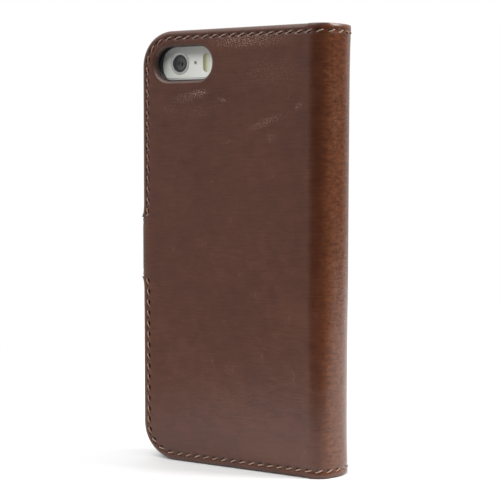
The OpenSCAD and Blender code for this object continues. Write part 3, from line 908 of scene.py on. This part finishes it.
def make_strap(name, t0, t1, stitches, inner_t, material, top=0.0):
    """A length of the strap's leather or lining, between two depths."""
    where, triangles = strap_pattern(t0, t1, 0.45)
    t, z = where[:, 0], where[:, 1]
    edge = strap_edge(t, z)
    free = ease(t, strap_join - 2.5, strap_join + 2.0)
    if top == 0:
        outer = edge_profile(edge, 0.6, 0.45) * free
        deep, dark = dents(t, z, stitches)
        outer += deep + 0.1 * np.exp(-(((edge - strap_row) / 0.5) ** 2)) * free
        inner = np.maximum(inner_t(t), outer + 0.15)
    else:
        outer = np.full(len(t), top)
        dark = np.zeros(len(t))
        inner = inner_t(t) - edge_profile(edge, 0.4, 0.3)
    used = np.unique(triangles)
    shift = lambda s: strap_join - s
    piece = shell(name, where, triangles, outer, inner, strap_to_case, material, shift)
    paint(piece, "pulled", np.concatenate([dark[used], np.zeros(len(used))]))
    return piece


lining_in = mm_box("strap_lining")[1].x - strap_x
tab_in = mm_box("tab_lining")[1].x - tab_x


def on_strap_bend(piece, *nodes):
    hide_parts(*nodes)
    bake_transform(piece)


def on_tab_bend(piece, *nodes):
    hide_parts(*nodes)
    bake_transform(piece)


split = strap_at(strap_split)
strap_leather = make_strap("strap_leather", 0, split, root_stitches,
    lambda t: np.full(len(t), strap_skin_t), outer_leather)
on_strap_bend(strap_leather, "strap_skin", "strap_root_fold")
tab_leather = make_strap("tab_leather", split, strap_far[-1], tab_sewn,
    lambda t: np.full(len(t), strap_skin_t), outer_leather)
on_tab_bend(tab_leather, "tab_skin", "strap_skin", "strap_front_fold")
strap_inside = make_strap("strap_inside", strap_at(strap_y0 + 0.3), split, [],
    lambda t: np.full(len(t), lining_in), microfibre.material, strap_skin_t)
on_strap_bend(strap_inside, "strap_lining")
tab_inside = make_strap("tab_inside", split, strap_far[-1], [],
    lambda t: lining_in + (tab_in - lining_in) * ease(t, strap_at(strap_y1 - 0.8),
    strap_at(strap_y1 + 3.4)), microfibre.material, strap_skin_t)
on_tab_bend(tab_inside, "tab_lining", "strap_lining", "strap_front_fold")
strap_thread = sew("strap_thread", root_stitches, strap_to_case, 0.14, 7)
on_strap_bend(strap_thread, "strap_stitches")
tab_thread = sew("tab_thread", tab_sewn, strap_to_case, 0.14, 8)
on_tab_bend(tab_thread, "tab_stitches", "strap_stitches")


# ---- Note pocket and card slots ----
# Four thin leather panels lie over one another inside the cover. Each is glued and sewn round
# three edges, and its rolled fourth edge, with a row of stitches, is the pocket's mouth.

pocket_leather = waxed_leather("pocket_leather", 1.0)
pocket_inset = mm_box("note_pocket")[0].x - free_x


def make_pocket(node, edge_x, low, high):
    """One pocket panel: flat against the cover, rolled along its mouth."""
    length = edge_x - free_x
    where, triangles = flat_pattern(length,
        (pocket_inset, pocket_inset + 0.06, pocket_inset + 0.2, pocket_inset + 0.5, pocket_inset + 1.2,
        3.4), 0.7, 1.4)
    s, z = where[:, 0], where[:, 1]
    mouth = length - s
    edge = np.minimum(hide_edge(s, z) - pocket_inset, mouth)
    mouth_stitches = row([(length - 2.2, 4.4), (length - 2.2, height - 4.4)],
        round((height - 8.8) / stitch_pitch))
    deep, dark = dents(s, z, mouth_stitches)
    top = high - edge_profile(edge, 0.35, 0.3) - np.minimum(deep,
        0.12) - 0.05 * np.exp(-(((mouth - 2.2) / 0.5) ** 2))
    used = np.unique(triangles)
    piece = shell(node + "_panel", where, triangles, np.full(len(s), low), top, on_hide(True),
        pocket_leather, flipped)
    paint(piece, "pulled", np.concatenate([np.zeros(len(used)), dark[used]]))
    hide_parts(node)
    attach(piece, "cover")
    return mouth_stitches


for order, node in enumerate(("note_pocket", "card_slot_1", "card_slot_2", "card_slot_3")):
    node_low, node_high = mm_box(node)
    mouth_row = make_pocket(node, node_high.x, case_t - node_high.y, case_t - node_low.y)

    def on_pocket(s, z, depth, level=case_t - node_low.y):
        return hide_to_case(s, z, level - depth, True)

    mouth_thread = sew(node + "_thread", mouth_row, on_pocket, 0.04, 11 + order, 1.7, 0.34, 0.10)
    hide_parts("pocket_stitches")
    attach(mouth_thread, "cover")


# ---- Phone tray ----
# Moulded black plastic, held to the back by tape. Its lip snaps over the phone's glass, and its
# long edges are eased. The moulding is finely textured.

black_plastic = Finish("tray_plastic")
spark = black_plastic.noise(black_plastic.solid(), 5.0, 3, 0.7)
black_plastic.set(
    Base_Color=black_plastic.mix((0.010, 0.010, 0.011), (0.020, 0.020, 0.021),
    black_plastic.step(spark, 0.4, 0.6)),
    Roughness=0.42 + spark * 0.15,
)
black_plastic.bumps((spark, 0.02))


def eased_copy(node, name, material, width, body, segments=2, angle=35):
    """A CAD node's shape as one clean mesh with its edges eased."""
    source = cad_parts[node]
    work = bmesh.new()
    work.from_mesh(source.data)
    bmesh.ops.transform(work, matrix=source.matrix_world, verts=work.verts)
    bmesh.ops.remove_doubles(work, verts=work.verts, dist=1e-6)
    bmesh.ops.dissolve_limit(work, angle_limit=math.radians(1.5), verts=work.verts, edges=work.edges)
    mesh = bpy.data.meshes.new(name)
    work.to_mesh(mesh)
    work.free()
    mesh.materials.clear()
    mesh.materials.append(material)
    mesh.shade_smooth()
    mesh.set_sharp_from_angle(angle=math.radians(40))
    piece = bpy.data.objects.new(name, mesh)
    scene.collection.objects.link(piece)
    bevel = piece.modifiers.new("eased", "BEVEL")
    bevel.width = width * mm
    bevel.segments = segments
    bevel.limit_method = "ANGLE"
    bevel.angle_limit = math.radians(angle)
    bevel.harden_normals = True
    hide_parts(node)
    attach(piece, body)
    return piece


eased_copy("phone_tray", "tray", black_plastic.material, 0.18, "back")


# ---- Phone ----
# A slim phone of anodised aluminium lies in the tray with its glass to the cover. Through the
# window show its pale rear glass, camera, microphone hole and flash.

silver = Finish("phone_metal")
blast = silver.noise(silver.solid(), 6.0, 2, 0.6)
silver.set(Base_Color=(0.62, 0.62, 0.60), Metallic=1.0, Roughness=0.34 + blast * 0.08)
silver.bumps((blast, 0.006))
eased_copy("phone_shell", "phone_body", silver.material, 0.25, "phone", 3, 50)

pale_glass = Finish("rear_glass")
pale_at = pale_glass.solid()
pale_mist = pale_glass.noise(pale_at, 0.3, 2, 0.5)
# The rear glass is painted darker on its left, as painted shade from the window's wall, and paler on its
# right, as a painted reflection.
painted_light_across = pale_glass.step(pale_glass.node("ShaderNodeSeparateXYZ", {}, {0: pale_at}), lens_low.x,
    lens_high.x + 9)
pale_glass.set(
    Base_Color=pale_glass.mix((0.72, 0.74, 0.69), (0.90, 0.91, 0.86), painted_light_across + pale_mist * 0.1),
    Roughness=0.25 + pale_mist * 0.04)
eased_copy("rear_glass", "back_glass", pale_glass.material, 0.12, "phone")

dark_glass = Finish("front_glass")
smear = dark_glass.noise(dark_glass.solid(), 0.06, 3, 0.6)
dark_glass.set(
    Base_Color=dark_glass.mix((0.006, 0.006, 0.007), (0.010, 0.010, 0.011), smear),
    Roughness=0.04 + smear * 0.05, Coat_Weight=0.6, Coat_Roughness=0.03)
eased_copy("front_glass", "screen", dark_glass.material, 0.2, "phone")

ring_metal = Finish("steel")
ring_turned = ring_metal.noise(ring_metal.solid(), 3.0, 2, 0.5)
ring_metal.set(Base_Color=(0.55, 0.56, 0.55), Metallic=1.0, Roughness=0.25 + ring_turned * 0.1)

lens_mid = Vector(((lens_low.x + lens_high.x) / 2, lens_low.y, (lens_low.z + lens_high.z) / 2))


def turned_part(name, profile, material, sides=48):
    """A round part from (radius, depth) points, its axis through the lens, facing the back."""
    work = bmesh.new()
    rings = []
    for radius, depth in profile:
        y = (lens_mid.y + depth) * mm
        if radius == 0:
            rings.append([work.verts.new((lens_mid.x * mm, y, lens_mid.z * mm))])
            continue
        rings.append([work.verts.new(((lens_mid.x + radius * math.cos(a)) * mm, y,
            (lens_mid.z + radius * math.sin(a)) * mm))
                      for a in np.linspace(0, 2 * math.pi, sides, endpoint=False)])
    for one, two in zip(rings, rings[1:]):
        for i in range(sides):
            j = (i + 1) % sides
            if len(one) == 1:
                work.faces.new((one[0], two[i], two[j]))
            elif len(two) == 1:
                work.faces.new((one[i], two[0], one[j]))
            else:
                work.faces.new((one[i], two[i], two[j], one[j]))
    bmesh.ops.recalc_face_normals(work, faces=work.faces)
    mesh = bpy.data.meshes.new(name)
    work.to_mesh(mesh)
    work.free()
    mesh.materials.append(material)
    mesh.shade_smooth()
    mesh.set_sharp_from_angle(angle=math.radians(30))
    piece = bpy.data.objects.new(name, mesh)
    scene.collection.objects.link(piece)
    return piece


ring_low, ring_high = mm_box("camera_ring")
ring_r = (ring_high.x - ring_low.x) / 2
lens_r = (lens_high.x - lens_low.x) / 2
ring_front = ring_low.y - lens_mid.y
trim_ring = turned_part("trim_ring", [
    (lens_r - 0.05, ring_front + 1.2), (lens_r - 0.05, ring_front + 0.06), (lens_r, ring_front),
    (ring_r - 0.1, ring_front),
    (ring_r, ring_front + 0.1), (ring_r, ring_front + 1.2), (lens_r - 0.05, ring_front + 1.2)],
    ring_metal.material)
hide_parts("camera_ring")
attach(trim_ring, "phone")

lens_black = Finish("lens_glass")
lens_at = lens_black.node("ShaderNodeMapping", {"vector_type": "TEXTURE"}, {
    "Vector": lens_black.node("ShaderNodeTexCoord", {}, {}, "Object"), "Location": tuple(lens_mid * mm),
    "Scale": (mm, 1e3, mm)})
lens_reach = lens_black.node("ShaderNodeVectorMath", {"operation": "LENGTH"}, {0: lens_at}, "Value")
lens_tone = lens_black.node("ShaderNodeValToRGB", {"stops": (
    (0.0, (0.045, 0.045, 0.05)), (0.13, (0.02, 0.02, 0.022)), (0.17, (0.06, 0.06, 0.062)),
    (0.37, (0.05, 0.05, 0.052)),
    (0.40, (0.003, 0.003, 0.003)), (0.5, (0.002, 0.002, 0.002)))}, {"Fac": lens_reach * 0.2})
lens_black.set(Base_Color=lens_tone, Roughness=0.12, Coat_Weight=0.5, Coat_Roughness=0.05)
lens = turned_part("lens", [
    (0, 0.34), (0.35, 0.31), (0.68, 0.2), (0.72, 0.42), (1.0, 0.40), (1.75, 0.16), (2.0, 0.12),
    (2.05, 0.04), (lens_r - 0.15, 0.02),
    (lens_r - 0.05, 0.08), (lens_r - 0.05, 1.2), (0, 1.2)], lens_black.material)
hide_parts("camera_lens")
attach(lens, "phone")

flash_yellow = Finish("flash_diffuser")
flash_low, flash_high = mm_box("flash_window")
flash_at = flash_yellow.node("ShaderNodeMapping", {"vector_type": "TEXTURE"}, {
    "Vector": flash_yellow.node("ShaderNodeTexCoord", {}, {}, "Object"), "Location": (flash_low.x * mm, 0, 0),
    "Scale": ((flash_high.x - flash_low.x) * mm, 1, 1)})
flash_across = flash_yellow.node("ShaderNodeSeparateXYZ", {}, {0: flash_at})
flash_cells = flash_yellow.node("ShaderNodeTexVoronoi", {}, {"Vector": flash_yellow.solid(), "Scale": 2.5})
flash_yellow.set(
    Base_Color=flash_yellow.mix((0.30, 0.31, 0.15), (0.78, 0.79, 0.58),
    flash_yellow.step(flash_across, 0.1, 0.9)),
    Roughness=0.25 + flash_cells * 0.1)
eased_copy("flash_window", "flash", flash_yellow.material, 0.1, "phone")


# ---- Hidden boards, tape and magnet ----
# Grey fibreboard stiffens the panels and the spine, foam tape holds the tray, and a steel plate
# in the cover answers the magnet in the tab. The spine's board is moulded to its bulge.

fibre = Finish("fibreboard")
fibre_grain = fibre.noise(fibre.solid((300, 1500, 1500)), 1.0, 4, 0.7)
fibre.set(Base_Color=fibre.mix((0.20, 0.17, 0.13), (0.33, 0.29, 0.23), fibre_grain),
    Roughness=0.85 + fibre_grain * 0.1)
fibre.bumps((fibre_grain, 0.05))
foam = Finish("tape")
foam_cells = foam.noise(foam.solid(), 4.0, 2, 0.5)
foam.set(Base_Color=foam.mix((0.02, 0.02, 0.02), (0.05, 0.05, 0.05), foam_cells),
    Roughness=0.8 + foam_cells * 0.1)
foam.bumps((foam_cells, 0.03))
plate = Finish("plate_steel")
plate_grain = plate.noise(plate.solid((200, 200, 4000)), 1.0, 3, 0.6)
plate.set(Base_Color=(0.50, 0.50, 0.49), Metallic=1.0, Roughness=0.3 + plate_grain * 0.15)
plate.bumps((plate_grain, 0.005))
hidden = {"back_board": fibre, "cover_board": fibre, "tray_tape": foam, "keeper_plate": plate,
    "magnet": plate}
for node, finish in hidden.items():
    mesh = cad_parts[node].data
    mesh.materials.clear()
    mesh.materials.append(finish.material)

stiff_low, stiff_high = mm_box("spine_stiffener")
spine_run = steps(flat_len + bend_len, hide_len, 0.1)
stiff_start = float(np.interp(stiff_low.y, hide_to_case(spine_run, height / 2, 0, False)[:, 1] / mm,
    spine_run))


def spine_place(s, z, depth):
    """Places points right across the spine, whose middle is at hide_len."""
    near = hide_to_case(np.minimum(s, hide_len), z, depth, False)
    far = hide_to_case(np.minimum(flipped(s), hide_len), z, depth, True)
    return np.where((s < hide_len)[:, None], near, far)


stiff_points = [(s, z) for s in steps(stiff_start, flipped(stiff_start), 0.7)
    for z in steps(stiff_low.z, stiff_high.z, 3)]
stiff_mesh = geometry.delaunay_2d_cdt([Vector(p) for p in stiff_points], [], [], 0, 1e-5)
stiff_where = np.array([tuple(p) for p in stiff_mesh[0]])
stiff_top = np.full(len(stiff_where), skin_t + 0.02)
spine_board = shell("spine_board", stiff_where, np.array(stiff_mesh[2]), stiff_top, stiff_top + 0.66,
    spine_place, fibre.material)
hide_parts("spine_stiffener")
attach(spine_board, "spine")
